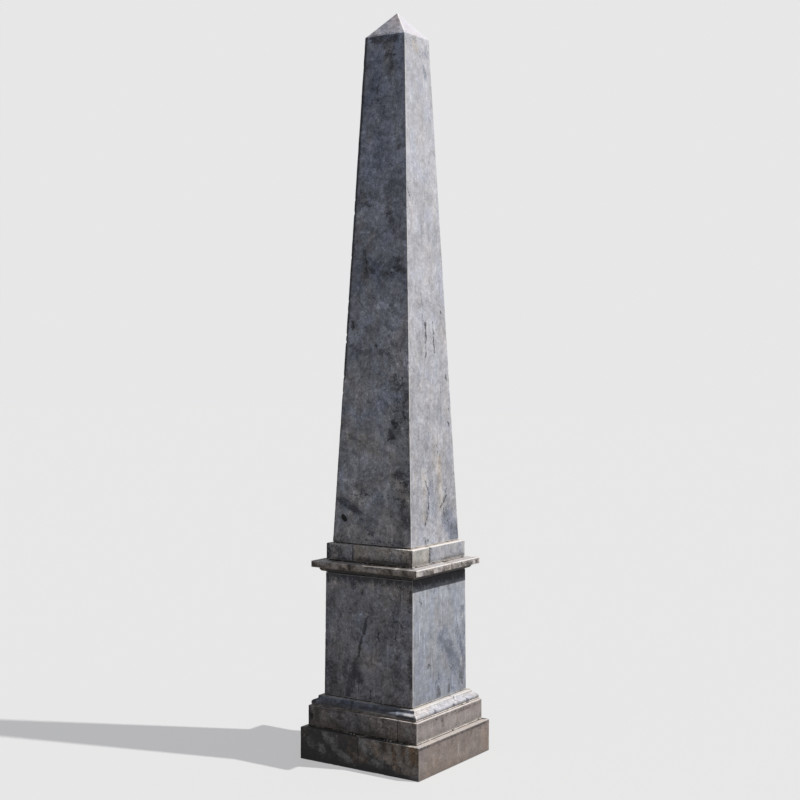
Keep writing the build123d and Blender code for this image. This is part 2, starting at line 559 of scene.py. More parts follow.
def wear_tree():
    """Chips the arrises, dishes the faces and sinks the painted voids."""
    inputs = {
        "geometry": GEOMETRY, "chip_depth": 0.003, "chip_size": 0.030, "chip_reach": 0.007,
        "chip_amount": 0.4, "hollow": 0.0006, "void_depth": 0.009, "seed": 0.0,
        "material": MATERIAL,
    }
    outputs = {"geometry": GEOMETRY}
    bench, given, leave = group_tree("Stone Wear", "GeometryNodeTree", inputs, outputs)

    def attribute(label):
        return bench.out("GeometryNodeInputNamedAttribute", {"Name": label}, data_type="FLOAT")

    place = bench.out("GeometryNodeInputPosition")
    place = bench.vector("ADD", place, bench.joined(given.seed, 0.0, given.seed))
    chip_scale = 1.0 / given.chip_size
    coarse = bench.noise(place, chip_scale, 2.0, 0.6, 0.3)
    fine = bench.noise(place, chip_scale * 4.0, 2.0, 0.6)
    both = coarse + fine * 0.25
    start = 0.92 - given.chip_amount * 0.35
    chipped = bench.fade(both, start, start + 0.12)
    worn = bench.fade(both, 0.3, 0.9) * 0.18
    near = bench.fade(attribute("arris"), 0.0, given.chip_reach, 1.0, 0.0)
    chip = bench.math("MAXIMUM", chipped, worn) * near
    dish = bench.noise(place, 9.0, 2.0, 0.5) * given.hollow
    pit = bench.fade(attribute("void"), 0.35, 0.75) * given.void_depth
    sunk = chip * given.chip_depth + dish + pit
    offset = bench.scaled(bench.out("GeometryNodeInputNormal"), sunk * -1.0)
    shifted = bench.out("GeometryNodeSetPosition", {"Geometry": given.geometry, "Offset": offset})
    values = {"Geometry": shifted, "Name": "chip", "Value": chip}
    stored = bench.out("GeometryNodeStoreNamedAttribute", values, data_type="FLOAT", domain="POINT")
    smooth = bench.out("GeometryNodeSetShadeSmooth", {"Geometry": stored})
    bench.feed(leave[0], dressed(bench, given, smooth))
    return bench.tree


def crumb_tree():
    """Crumbs of mortar that lie along a line, of many sizes, each pressed a little flat."""
    inputs = {
        "geometry": GEOMETRY, "spacing": 0.004, "largest": 0.004, "share": 0.4, "seed": 0,
        "material": MATERIAL,
    }
    outputs = {"geometry": GEOMETRY}
    bench, given, leave = group_tree("Mortar Crumbs", "GeometryNodeTree", inputs, outputs)

    def random_number(seed_step, low, high):
        values = {2: low, 3: high, "Seed": given.seed + seed_step}
        return bench.out("FunctionNodeRandomValue", values, output=1, data_type="FLOAT")

    line = bench.out("GeometryNodeMeshToCurve", {0: given.geometry})
    values = {0: line, "Length": given.spacing}
    spread = bench.out("GeometryNodeCurveToPoints", values, mode="LENGTH")
    place = bench.out("GeometryNodeInputPosition")
    crowd = bench.noise(place, 30.0, 2.0, 0.6)
    chance = random_number(0.0, 0.0, 1.0) + (0.5 - crowd) * 2.0
    values = {0: spread, "Selection": bench.math("LESS_THAN", chance, given.share)}
    kept = bench.out("GeometryNodeSeparateGeometry", values, domain="POINT")
    ball = bench.out("GeometryNodeMeshIcoSphere", {"Radius": 1.0, "Subdivisions": 2})
    bumps = 1.0 + bench.swing(place, 1.6, 2.0) * 1.4
    values = {"Geometry": ball, "Position": bench.scaled(place, bumps)}
    uneven = bench.out("GeometryNodeSetPosition", values)
    size = random_number(7.0, 0.25, 1.0)
    values = {0: (0.0, 0.0, 0.0), 1: (0.4, 0.4, 6.28), "Seed": given.seed + 3.0}
    turn = bench.out("FunctionNodeRandomValue", values, data_type="FLOAT_VECTOR")
    radius = size * size * (given.largest * 0.5)
    flat = bench.joined(radius * 1.3, radius * 1.1, radius * 0.8)
    values = {0: kept, "Instance": uneven, "Rotation": turn, "Scale": flat}
    laid = bench.out("GeometryNodeInstanceOnPoints", values)
    bench.feed(leave[0], dressed(bench, given, laid))
    return bench.tree


WEAR, CRUMBS = wear_tree(), crumb_tree()


def evaluated(mesh, name, tree, **values):
    """Runs a Geometry Nodes tree on a mesh and keeps the plain mesh that comes out."""
    carrier = bpy.data.objects.new(name, mesh)
    bpy.context.scene.collection.objects.link(carrier)
    modifier = carrier.modifiers.new("build", "NODES")
    modifier.node_group = tree
    inputs = [item for item in tree.interface.items_tree if item.in_out == "INPUT"]
    identifiers = {item.name: item.identifier for item in inputs}
    for label, value in values.items():
        modifier[identifiers[titled(label)]] = value
    bpy.context.view_layer.update()
    graph = bpy.context.evaluated_depsgraph_get()
    result = bpy.data.meshes.new_from_object(carrier.evaluated_get(graph), depsgraph=graph)
    bpy.data.objects.remove(carrier)
    piece = bpy.data.objects.new(name, result)
    bpy.context.scene.collection.objects.link(piece)
    return piece


def worn_stone(blank, node, slot, material, marks=None, **wear):
    """Puts a worn stone in the place of a node of the frame."""
    mesh = blank.mesh(painting(blank, marks or {}))
    piece = evaluated(mesh, blank.name, WEAR, material=material, **wear)
    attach(piece, "root")
    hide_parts(node)


# Effects that the materials share. Each recipe is built into a shader node group at once, and the
# recipe's name stands for that group from then on.

def shader_group(name, outputs=None, **inputs):
    """Builds a node group from a recipe, which returns what the group puts out."""

    def build(recipe):
        sockets = {"place": (0.0, 0.0, 0.0), **inputs}
        named_outputs = outputs or {"value": NUMBER}
        bench, given, leave = group_tree(name, "ShaderNodeTree", sockets, named_outputs)
        results = recipe(bench, given)
        for socket, result in zip(leave, results if outputs else [results]):
            bench.feed(socket, result)
        return bench.tree

    return build


def drawn_out(bench, given):
    """The place, squeezed so that a noise there gets the width and the length asked for."""
    across = 1.0 / given.width
    along = 1.0 / given.length
    return bench.vector("MULTIPLY", given.place, bench.joined(across, across, along))


@shader_group("Stone Clouds", cloud_size=0.09, fineness=0.5)
def stone_clouds(bench, given):
    """Cloudy mottling in four sizes with broken patches, as a value that swings about nought."""
    scale = 1.0 / given.cloud_size
    large = bench.swing(given.place, scale, 4.0, 0.62, 0.8)
    medium = bench.swing(given.place, scale * 3.1, 5.0, 0.66, 0.7)
    small = bench.swing(given.place, scale * 8.0, 4.0, 0.68, 0.4)
    fine = bench.swing(given.place, scale * 21.0, 3.0, 0.75)
    broad = large * 0.5 + medium * 0.5
    close = small * 0.6 + fine * 0.7
    dark_patch = bench.fade(medium, -0.05, -0.09) * -0.045
    pale_patch = bench.fade(small, 0.07, 0.11) * 0.040
    return broad + (close + (dark_patch + pale_patch)) * given.fineness


@shader_group("Upright Grain", width=0.006, length=0.05)
def upright_grain(bench, given):
    """Upright grain of the dressed face, from long thin streaks, as a value about nought."""
    place = drawn_out(bench, given)
    thin = bench.swing(place, 1.0, 3.0, 0.65, 0.3)
    broad = bench.swing(place, 0.3, 3.0, 0.6, 0.3)
    return thin * 0.6 + broad * 0.6


@shader_group("Ragged Flecks", size=0.012, amount=0.5)
def ragged_flecks(bench, given):
    """Small flecks with ragged edges, in loose crowds."""
    scale = 1.0 / given.size
    crowd = bench.noise(given.place, scale * 0.13, 2.0, 0.5)
    fleck = bench.noise(given.place, scale, 4.0, 0.7, 0.6)
    start = 0.86 - given.amount * 0.18 - crowd * 0.22
    return bench.fade(fleck, start, start + 0.06)


@shader_group("Hair Cracks", size=0.12, width=0.010, amount=0.5)
def hair_cracks(bench, given):
    """Hair cracks: the winding lines where a noise crosses its middle."""
    scale = 1.0 / given.size
    off_middle = bench.math("ABSOLUTE", bench.swing(given.place, scale, 5.0, 0.6, 0.8))
    line = bench.fade(off_middle, 0.0, given.width, 1.0, 0.0)
    where = bench.noise(given.place, scale * 1.3, 2.0, 0.5)
    start = 0.85 - given.amount * 0.4
    return line * bench.fade(where, start, start + 0.1)


@shader_group("Painted Stain", painted=0.0, ragged=1.0, size=0.02)
def painted_stain(bench, given):
    """Turns a painted mask into a ragged patch: a soft haze with darker cores that have ragged edges.
    """
    scale = 1.0 / given.size
    rough = bench.swing(given.place, scale, 5.0, 0.72, 0.5)
    close = bench.swing(given.place, scale * 5.0, 3.0, 0.7)
    push = rough * 3.6 + close * 2.6
    inside = bench.fade(given.painted, 0.02, 0.35) * given.ragged
    core = bench.fade(given.painted + push * inside, 0.32, 0.86)
    haze = bench.fade(given.painted, 0.08, 0.85) * (0.50 + rough * 1.2)
    return bench.math("MAXIMUM", core, haze)


@shader_group("Winding Line", start=(0.0, 0.0, 0.0), end=(0.0, 0.0, 0.1), width=0.003)
def winding_line(bench, given):
    """A thin winding line between two points of the stone, of uneven thickness."""
    bend = bench.noise(given.place, 38.0, 4.0, 0.6, output=1)
    bend = bench.scaled(bench.vector("SUBTRACT", bend, (0.5, 0.5, 0.5)), 0.034)
    away = bench.vector("SUBTRACT", bench.vector("ADD", given.place, bend), given.start)
    run = bench.vector("SUBTRACT", given.end, given.start)
    run_squared = bench.measure("DOT_PRODUCT", run, run)
    along = bench.math("DIVIDE", bench.measure("DOT_PRODUCT", away, run), run_squared, clamp=True)
    gap = bench.measure("LENGTH", bench.vector("SUBTRACT", away, bench.scaled(run, along)))
    uneven = bench.noise(given.place, 55.0, 3.0, 0.6)
    reach = given.width * bench.fade(uneven, 0.34, 0.60, 0.55, 1.5)
    return bench.fade(gap, reach * 0.35, reach, 1.0, 0.0)


@shader_group("Water Runs", width=0.004, length=0.16)
def water_runs(bench, given):
    """Long thin upright runs that water has left, pale and dark, as a value about nought."""
    run = bench.noise(drawn_out(bench, given), 1.0, 2.0, 0.6, 0.2)
    where = bench.noise(given.place, 9.0, 2.0, 0.5)
    pale = bench.fade(run, 0.60, 0.70) * bench.fade(where, 0.45, 0.60)
    dark = bench.fade(run, 0.40, 0.30) * bench.fade(where, 0.55, 0.40)
    return pale - dark


@shader_group("Rubbed Arris", arris=0.0, chip=0.0, reach=0.003)
def rubbed_arris(bench, given):
    """Rubbed, paler stone along the arrises and in the chips."""
    ragged = bench.noise(given.place, 160.0, 3.0, 0.6)
    slow = bench.noise(given.place, 14.0, 2.0, 0.5)
    reach = given.reach * (ragged + slow * 1.2)
    near = bench.fade(given.arris, reach * 0.4, reach, 1.0, 0.0)
    chipped = bench.fade(given.chip, 0.25, 0.6) * 0.6
    return bench.math("MAXIMUM", near, chipped)


# Weathered limestone, made of these effects. Its inputs are what changes over a stone, then the
# colours of the shaded and the sunlit faces and of the ledges, then the share of each effect. Where
# it is sunlit a stone is calmer, most of all on its ledges.

STONE_MASKS = ("sunny", "ledge", "arris", "joint", "chip", *MASKS)
STONE_INPUTS = {
    **dict.fromkeys((*STONE_MASKS, "height", "lines"), 0.0),
    **dict.fromkeys(("shade_foot", "shade_head", "sun_foot", "sun_head"), colour(150, 152, 160)),
    **dict.fromkeys(("top_shade", "top_sun"), colour(160, 158, 158)),
    "cloud_size": 0.09,
    "cloud_contrast": 4.2,
    "broad_contrast": 0.4,
    "calm": 0.40,
    "head_calm": 0.0,
    "hue_change": 0.5,
    "grain_amount": 1.0,
    "sun_grain": 0.8,
    "run_amount": 0.10,
    "fleck_amount": 0.5,
    "crack_amount": 0.3,
    "rubbed": 0.6,
    "ochre_tint": OCHRE_TINT,
    "crust": CRUST_AND_SHADE,
    "joint_grime": 0.42,
    "foot_grime": 0.0,
    "grime_colour": colour(60, 54, 48),
}
STONE_OUTPUTS = {"color": COLOUR, "roughness": NUMBER, "height": NUMBER}
LEDGE_CALM = 0.75
FLECK_SHIFT = (3.3, 1.7, 5.1)


def body_colour(bench, given):
    """The plain stone, shaded or sunlit, from foot to head, and with other colours on ledges."""
    shade = bench.blend(given.height, given.shade_foot, given.shade_head)
    sun = bench.blend(given.height, given.sun_foot, given.sun_head)
    faces = bench.blend(given.sunny, shade, sun)
    ledges = bench.blend(given.sunny, given.top_shade, given.top_sun)
    return bench.blend(given.ledge, faces, ledges)


def mottled(bench, given, tint, clouds, grain, quiet, calm):
    """Darkens and lightens the stone by clouds, broad patches, grain and water runs."""
    soft_grain = quiet * (1.0 - given.sunny * (1.0 - given.sun_grain))
    broad = bench.swing(given.place, 24.0, 1.0, 0.4, 0.8)
    runs = bench.effect(water_runs, place=given.place)
    swing = clouds * given.cloud_contrast * calm
    swing += broad * given.broad_contrast * quiet
    swing += grain * (given.grain_amount * 0.8 * soft_grain)
    swing += runs * (given.run_amount * 3.0)
    factor = bench.math("POWER", 2.0, swing)
    return bench.blend(1.0, tint, bench.joined(factor, factor, factor), "MULTIPLY")


def hue_changed(bench, given, tint):
    """Lets the stone turn warmer or cooler, in patches nearly twice as tall as wide."""
    place = bench.vector("MULTIPLY", given.place, (1.0, 1.0, 0.55))
    hue = bench.swing(place, 13.0, 4.0, 0.6, 0.6)
    change = given.hue_change * (1.0 - given.sunny * 0.4)
    tint = bench.washed(bench.fade(hue, 0.0, 0.16) * change, tint, WARM_TINT)
    return bench.washed(bench.fade(hue, 0.0, -0.16) * change, tint, COOL_TINT)


def foot_grime(bench, given):
    """Grime that splashes up the foot of a course."""
    ragged = given.height + bench.swing(given.place, 20.0, 4.0, 0.6) * 0.9
    return bench.fade(ragged, 0.0, 0.45, 1.0, 0.0) * given.foot_grime


def rubbed_and_sunlit_arrises(bench, given):
    """Pale rubbed stone along the arrises, away from the joints; on the sunlit sides it is stronger, a
    painted highlight on top of the wear.
    """
    wear = {"arris": given.arris, "chip": given.chip, "reach": 0.0040}
    rubbed = bench.effect(rubbed_arris, place=given.place, **wear)
    off_joint = bench.fade(given.joint, 0.002, 0.006)
    return rubbed * off_joint * (0.45 + given.sunny * 0.55) * given.rubbed


@shader_group("Weathered Limestone", STONE_OUTPUTS, **STONE_INPUTS)
def weathered_limestone(bench, given):
    """Body colour and mottling, and then all that lies on the stone, from flecks to voids."""
    place = given.place

    def stained(painted, size, ragged=1.0):
        return bench.effect(painted_stain, place=place, painted=painted, ragged=ragged, size=size)

    def flecked(at, size, more=0.0):
        amount = given.fleck_amount + more
        return bench.effect(ragged_flecks, place=at, size=size, amount=amount)

    head_calm = 1.0 - given.sunny * given.height * given.head_calm
    ledge_calm = 1.0 - given.sunny * given.ledge * LEDGE_CALM
    quiet = head_calm * ledge_calm
    calm = quiet * (1.0 - given.sunny * (1.0 - given.calm))
    clouds = bench.effect(stone_clouds, place=place, cloud_size=given.cloud_size, fineness=0.8)
    grain = bench.effect(upright_grain, place=place, width=0.0065, length=0.05)
    tint = mottled(bench, given, body_colour(bench, given), clouds, grain, quiet, calm)
    tint = hue_changed(bench, given, tint)
    tint = bench.washed(stained(given.cool, 0.035), tint, COOL_STAIN_TINT)
    tint = bench.washed(stained(given.ochre, 0.030), tint, given.ochre_tint)

    elsewhere = bench.vector("ADD", place, FLECK_SHIFT)
    dark_flecks = flecked(place, 0.012)
    shape = {"size": 0.15, "width": 0.012, "amount": given.crack_amount}
    cracks = bench.effect(hair_cracks, place=place, **shape)
    crust = stained(given.stain, 0.020)
    ridge = bench.math("ABSOLUTE", bench.swing(place, 42.0, 3.0, 0.6, 1.2))
    veins = bench.fade(ridge, 0.0, 0.075, 1.0, 0.45)
    layers = (
        (flecked(elsewhere, 0.0045, 0.2) * (quiet * 0.16), LIME_AND_LIGHT),
        (flecked(place, 0.005, 0.3) * (calm * 0.40), CRUST_AND_SHADE),
        (flecked(elsewhere, 0.009) * (calm * 0.22), LIME_AND_LIGHT),
        (dark_flecks * (calm * 0.7), CRUST_AND_SHADE),
        (cracks * 0.6, CRUST_AND_SHADE),
        (crust * 0.85, given.crust),
        (stained(given.pale, 0.016) * veins * 0.50, LIME_AND_LIGHT),
        (given.lines * 0.85, SOOT_AND_SHADE),
        (foot_grime(bench, given), given.grime_colour),
        (rubbed_and_sunlit_arrises(bench, given), LIME_AND_LIGHT),
        (bench.fade(given.joint, 0.0010, 0.0036, 1.0, 0.0) * given.joint_grime, SOOT_AND_SHADE),
        (stained(given.soot, 0.02, ragged=0.35) * 0.94, SOOT_AND_SHADE),
        (bench.fade(given.void, 0.3, 0.6), VOID),
    )
    for share, layer in layers:
        tint = bench.blend(share, tint, layer)

    roughness = bench.math("MAXIMUM", 0.78 + clouds * -0.5, crust * 0.85)
    pits = bench.noise(place, 420.0, 3.0, 0.7)
    lumps = pits * 0.5 + (grain * 0.5 + clouds * 1.2)
    holes = dark_flecks * 0.8 + cracks
    return tint, roughness, lumps - holes


# Materials

def shader_bench(name):
    """A new material with its bench and its Principled shader."""
    material = bpy.data.materials.new(name)
    material.use_nodes = True
    shader = next(n for n in material.node_tree.nodes if n.type == "BSDF_PRINCIPLED")
    return material, Bench(material.node_tree), shader


def finished(bench, shader, tint, roughness, height, strength, distance):
    """Gives a shader its colour, its roughness and its bumps."""
    bench.feed(shader.inputs["Base Color"], tint)
    bench.feed(shader.inputs["Roughness"], roughness)
    values = {"Strength": strength, "Distance": distance, "Height": height}
    bench.feed(shader.inputs["Normal"], bench.out("ShaderNodeBump", values))


def drawn_lines(bench, spot, lines):
    """The strongest of a stone's drawn lines. The hidden sides show them turned half a circle."""
    axes = bench.node("ShaderNodeSeparateXYZ", {0: spot}).outputs
    hidden = bench.math("GREATER_THAN", Wire(bench, axes[1]), Wire(bench, axes[0]))
    turn = 1.0 - hidden * 2.0
    shown = bench.vector("MULTIPLY", spot, bench.joined(turn, turn, 1.0))
    strongest = 0.0
    for start, end, width in lines:
        line = bench.effect(winding_line, place=shown, start=start, end=end, width=width)
        strongest = bench.math("MAXIMUM", strongest, line)
    return strongest


def limestone(name, nodes, seed, lines=(), **values):
    """The limestone of one course, with its own colours and its own share of each effect."""
    low, high = course_box(nodes)
    material, bench, shader = shader_bench(name)
    spot = bench.place()
    place = bench.vector("ADD", spot, (seed, seed * 0.7, seed * 0.3))
    level = bench.out("ShaderNodeSeparateXYZ", {0: spot}, output=2)
    levels = {"Value": level, "From Min": low.z, "From Max": high.z}
    height = bench.out("ShaderNodeMapRange", levels)
    values.update({mask: bench.attribute(mask) for mask in STONE_MASKS})
    values["lines"] = drawn_lines(bench, spot, lines)
    tint, roughness, bumps = bench.group(weathered_limestone, place=place, height=height, **values)
    finished(bench, shader, tint, roughness, bumps, strength=0.35, distance=0.0012)
    return material


def lime_mortar(name, sunlit_tone, shaded_tones):
    """Crumbling lime mortar with painted light and shade: pale on the sunlit sides, and darker with
    pale grains on the shaded sides.
    """
    material, bench, shader = shader_bench(name)
    place = bench.place()
    patches = bench.noise(place, 26.0, 4.0, 0.65)
    grains = bench.noise(place, 210.0, 3.0, 0.7)
    in_shade = bench.blend(bench.fade(patches, 0.42, 0.60), *shaded_tones)
    in_shade = bench.blend(bench.fade(grains + patches * 0.5, 0.84, 0.94), in_shade, LIME_AND_LIGHT)
    duller = tuple(part * 0.72 for part in sunlit_tone[:3]) + (1.0,)
    in_sun = bench.blend(bench.fade(patches, 0.38, 0.62), duller, sunlit_tone)
    in_sun = bench.blend(bench.fade(grains, 0.58, 0.72) * 0.4, in_sun, MORTAR_GRIT)
    # Painted light and shade: the sunlit sides take the pale tones and the shaded sides the dark ones
    tint = bench.blend(bench.attribute("sunny"), in_shade, in_sun)
    roughness = bench.fade(grains, 0.3, 0.7, 0.95, 0.85)
    finished(bench, shader, tint, roughness, grains, strength=0.6, distance=0.0015)
    return material


def plain_mineral(name, dark, light, scale):
    """A plain crumbly mineral in two tones."""
    material, bench, shader = shader_bench(name)
    patches = bench.noise(bench.place(), scale, 4.0, 0.65)
    tint = bench.blend(bench.fade(patches, 0.4, 0.6), dark, light)
    roughness = bench.fade(patches, 0.3, 0.7, 0.95, 0.85)
    finished(bench, shader, tint, roughness, patches, strength=0.5, distance=0.0012)
    return material


# Cracks drawn on the die and the shaft, as across and level of two ends, and a width

def on_face(node, side, across, level):
    """The point of a front or right-hand face at a place across and a level."""
    low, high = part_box(node)
    head = high.z - (TIP_HEIGHT if node == "shaft" else 0.0)
    foot_half, head_half = half_width_at(node, low.z), half_width_at(node, head)
    half = foot_half + (head_half - foot_half) * (level - low.z) / (head - low.z)
    return (across, -half, level) if side == "front" else (half, across, level)


def lines_on(node, cracks):
    """The two ends and the width of each crack on a stone."""
    lines = []
    for side, drawn in cracks.items():
        for across, level, end_across, end_level, width in map(metres, drawn):
            ends = on_face(node, side, across, level), on_face(node, side, end_across, end_level)
            lines.append((*ends, width))
    return lines


# The stones, from the ground up

def upright_outline(nodes):
    """Outline of a plain course with upright faces."""
    low, high = course_box(nodes)
    return [(high.x, low.z), (high.x, high.z)]


def lay_course(nodes, outline, stones, marks, **wear):
    """Lays the stones of one course, each with its own joints and its own chips."""
    high = course_box(nodes)[1]
    for number, (node, stone) in enumerate(zip(nodes, cycle(stones))):
        blank = Blank(f"worn_{node}", outline, joints_of(node, nodes))
        worn_stone(blank, node, "stone", stone, marks, seed=COURSE_SEED + number + high.z, **wear)


PLINTH_MARKS = {
    # Soot and painted shade down the far left arris, and painted shade along the front ledge at level
    # 116.5
    ("soot", "front"): [
        (-243, 10, -243, 110, 12, 0.9), (-243, 116.5, 110, 116.5, 3.5, 1.1),
    ],
    # The first stroke is painted shade on the front ledge
    ("stain", "front"): [
        (110, 116.5, 190, 116.5, 3.5, 1.2), (-215, 60, -60, 70, 75, 1.15),
        (-230, 20, -175, 100, 45, 1.4), (-70, 95, -30, 60, 20, 1.0), (-60, 90, -40, 60, 18, 1.1),
        (-3, 108, -1, 50, 8, 0.9), (44, 72, 60, 50, 18, 1.0), (85, 112, 100, 80, 14, 0.7),
        (-240, 8, 120, 2, 26, 1.5), (120, 4, 200, 0, 14, 1.2),
    ],
    # The stroke at level 117 by the right-hand corner is painted sunlight on the front ledge
    ("pale", "front"): [
        (-204, 72, -196, 58, 18, 0.6), (-135, 102, -125, 86, 17, 0.9), (-158, 60, -146, 44, 15, 0.8),
        (-112, 88, -92, 56, 13, 1.0), (-92, 56, -36, 28, 11, 1.1), (-90, 100, -88, 88, 9, 0.6),
        (16, 106, 30, 78, 20, 0.9), (60, 112, 80, 100, 15, 0.9), (-8, 50, 14, 40, 14, 0.5),
        (50, 88, 100, 60, 24, 0.6), (66, 42, 92, 30, 13, 0.8), (125, 100, 130, 50, 11, 0.9),
        (163, 105, 170, 50, 12, 0.9), (198, 100, 200, 50, 10, 0.8), (195, 38, 235, 22, 24, 0.7),
        (205, 117, 245, 117, 3.5, 2.4), (232, 45, 234, 25, 13, 0.8),
    ],
    ("ochre", "front"): [
        (-10, 45, 20, 38, 24, 1.0), (95, 90, 225, 60, 50, 1.2), (222, 108, 232, 88, 18, 1.2),
        (236, 75, 236, 25, 14, 0.8),
    ],
    ("cool", "front"): [
        (60, 40, 110, 26, 22, 0.7),
    ],
    ("stain", "right"): [
        (-245, 107.5, 245, 107.5, 4.2, 0.9), (-190, 85, -184, 66, 12, 0.3),
        (-114, 108, -106, 96, 10, 0.55), (-75, 80, -68, 62, 11, 0.3), (-28, 108, -22, 86, 10, 0.45),
        (55, 70, 62, 55, 13, 0.3), (108, 108, 112, 92, 11, 0.45), (170, 110, 176, 98, 10, 0.45),
    ],
    ("pale", "right"): [
        (-150, 70, -148, 40, 14, 0.35), (20, 70, 22, 35, 14, 0.3),
    ],
    # Painted warm bounce light along the foot
    ("ochre", "right"): [
        (-240, 10, 200, 4, 14, 0.25),
    ],
}


def plinth():
    """Two dark stones under the whole width, with most of the grime."""
    nodes = named("plinth_")
    stone = limestone(
        "plinth_stone", nodes, seed=1.7,
        shade_foot=colour(71, 67, 67), shade_head=colour(90, 83, 77),
        sun_foot=colour(118, 107, 100), sun_head=colour(110, 100, 96),
        top_shade=colour(80, 75, 70), top_sun=colour(147, 140, 136),
        cloud_size=0.055, cloud_contrast=9.6, broad_contrast=0.8, calm=0.24, hue_change=0.7,
        grain_amount=0.8, sun_grain=0.35, run_amount=0.12, fleck_amount=0.6, rubbed=0.12,
        ochre_tint=(1.34, 1.05, 0.76, 1.0), crust=colour(38, 38, 40),
        foot_grime=0.30, grime_colour=colour(46, 45, 48),
    )
    lay_course(nodes, upright_outline(nodes), [stone], PLINTH_MARKS,
               chip_depth=0.004, chip_size=0.05, chip_reach=0.008, chip_amount=0.5, hollow=0.0010)


BASE_BLOCK_MARKS = {
    ("void", "front"): [
        (-213, 161, -212, 144, 4.5, 1.0),
    ],
    # Soot and painted shade down the far left arris
    ("soot", "front"): [
        (-222, 125, -222, 187, 10, 0.9),
    ],
    ("stain", "front"): [
        (-192, 130, -188, 185, 16, 0.8), (-170, 188, -20, 190, 10, 0.8), (-124, 152, -120, 146, 8, 0.9),
        (-96, 166, -78, 164, 8, 0.8), (-105, 130, -65, 124, 12, 0.95), (-10, 126, 130, 124, 11, 0.9),
        (30, 180, 36, 140, 9, 0.6), (86, 190, 92, 160, 9, 0.6),
    ],
    ("cool", "front"): [
        (-150, 160, 0, 155, 40, 0.5),
    ],
    ("pale", "front"): [
        (185, 170, 200, 140, 14, 0.35),
    ],
    ("stain", "right"): [
        (-225, 179, 225, 179, 7.5, 0.5), (-112, 183, -108, 165, 11, 0.42),
        (-58, 183, -50, 150, 13, 0.4), (-18, 182, -4, 170, 13, 0.48), (55, 183, 58, 174, 10, 0.62),
        (100, 183, 104, 176, 10, 0.62), (-200, 180, -196, 130, 12, 0.35),
    ],
}


def base_block():
    """A wide stone and a narrow closer, in a dull warm grey."""
    nodes = named("base_block_")
    stone = limestone(
        "base_block_stone", nodes, seed=5.2,
        shade_foot=colour(112, 103, 99), shade_head=colour(130, 123, 121),
        sun_foot=colour(134, 127, 125), sun_head=colour(122, 114, 112),
        top_shade=colour(148, 139, 137), top_sun=colour(148, 139, 137),
        cloud_size=0.06, cloud_contrast=6.6, broad_contrast=0.6, calm=0.28, hue_change=0.5,
        grain_amount=1.8, sun_grain=0.25, run_amount=0.20, fleck_amount=0.65, rubbed=0.5,
        crust=WARM_CRUST_AND_SHADE, foot_grime=0.45, grime_colour=colour(66, 61, 58),
    )
    lay_course(nodes, upright_outline(nodes), [stone], BASE_BLOCK_MARKS,
               chip_depth=0.0035, chip_size=0.04, chip_reach=0.007, chip_amount=0.45, hollow=0.0009)


BASE_MOULDING_MARKS = {
    # Soot and painted shade down the far left end
    ("soot", "front"): [
        (-216, 196, -190, 225, 8, 0.8),
    ],
    # Near the right-hand corner, the strokes at levels 203, 216.5 and 226.2 are painted shade that
    # narrows a sunlit patch
    ("stain", "front"): [
        (-200, 200, -80, 205, 16, 0.8), (-20, 209, 130, 209, 6, 0.8), (110, 216.5, 150, 216.5, 4, 1.2),
        (60, 226.2, 176, 226.2, 3.5, 2.0), (150, 203, 202, 202, 5, 2.2), (-62, 222, -46, 204, 7, 0.9),
    ],
    ("ochre", "front"): [
        (-120, 199, 160, 199, 6, 1.0),
    ],
    # The stroke at level 211 by the right-hand corner is a painted highlight
    ("pale", "front"): [
        (10, 198, 130, 198, 4, 1.3), (168, 211.2, 198, 210.5, 3, 2.2),
    ],
    # Painted light in the hollow, which lies in shade
    ("pale", "right"): [
        (-195, 218.5, 195, 218.5, 2.6, 1.2),
    ],
    ("stain", "right"): [
        (-210, 198, 210, 198, 3.5, 0.6), (-90, 202, -86, 200, 8, 0.8), (35, 202, 40, 200, 8, 0.8),
        (130, 202, 136, 200, 8, 0.8),
    ],
}


def moulding_outline(nodes):
    """Nose, swelling, hollow and fillet of the base moulding."""
    low, high = course_box(nodes)
    nose = high.x
    fillet = nose - NOSE_TO_FILLET
    nose_top = low.z + NOSE_HEIGHT
    fillet_foot = high.z - FILLET_HEIGHT
    middle_x, middle_z = (nose + fillet) / 2, (nose_top + fillet_foot) / 2
    outline = [(nose, low.z), (nose, nose_top)]
    for t in QUARTER_TURN[1:]:
        across = middle_x + (nose - middle_x) * math.cos(t)
        outline.append((across, nose_top + (middle_z - nose_top) * math.sin(t)))
    for t in reversed(QUARTER_TURN[1:-1]):
        across = fillet + (middle_x - fillet) * (1 - math.cos(t))
        outline.append((across, fillet_foot - (fillet_foot - middle_z) * math.sin(t)))
    return [*outline, (fillet, fillet_foot), (fillet, high.z)]


def base_moulding():
    """Four blue-grey stones, each with a returned corner."""
    nodes = named("base_moulding_")
    stone = limestone(
        "moulding_stone", nodes, seed=6.6,
        shade_foot=colour(92, 91, 96), shade_head=colour(116, 122, 136),
        sun_foot=colour(142, 142, 149), sun_head=colour(150, 148, 151),
        top_shade=colour(160, 157, 156), top_sun=colour(160, 157, 156),
        cloud_size=0.06, cloud_contrast=4.2, calm=0.7, hue_change=0.7,
        grain_amount=0.8, run_amount=0.05, fleck_amount=0.5, rubbed=0.4,
    )
    lay_course(nodes, moulding_outline(nodes), [stone], BASE_MOULDING_MARKS,
               chip_depth=0.001, chip_size=0.035, chip_reach=0.004, chip_amount=0.15, hollow=0.0004)


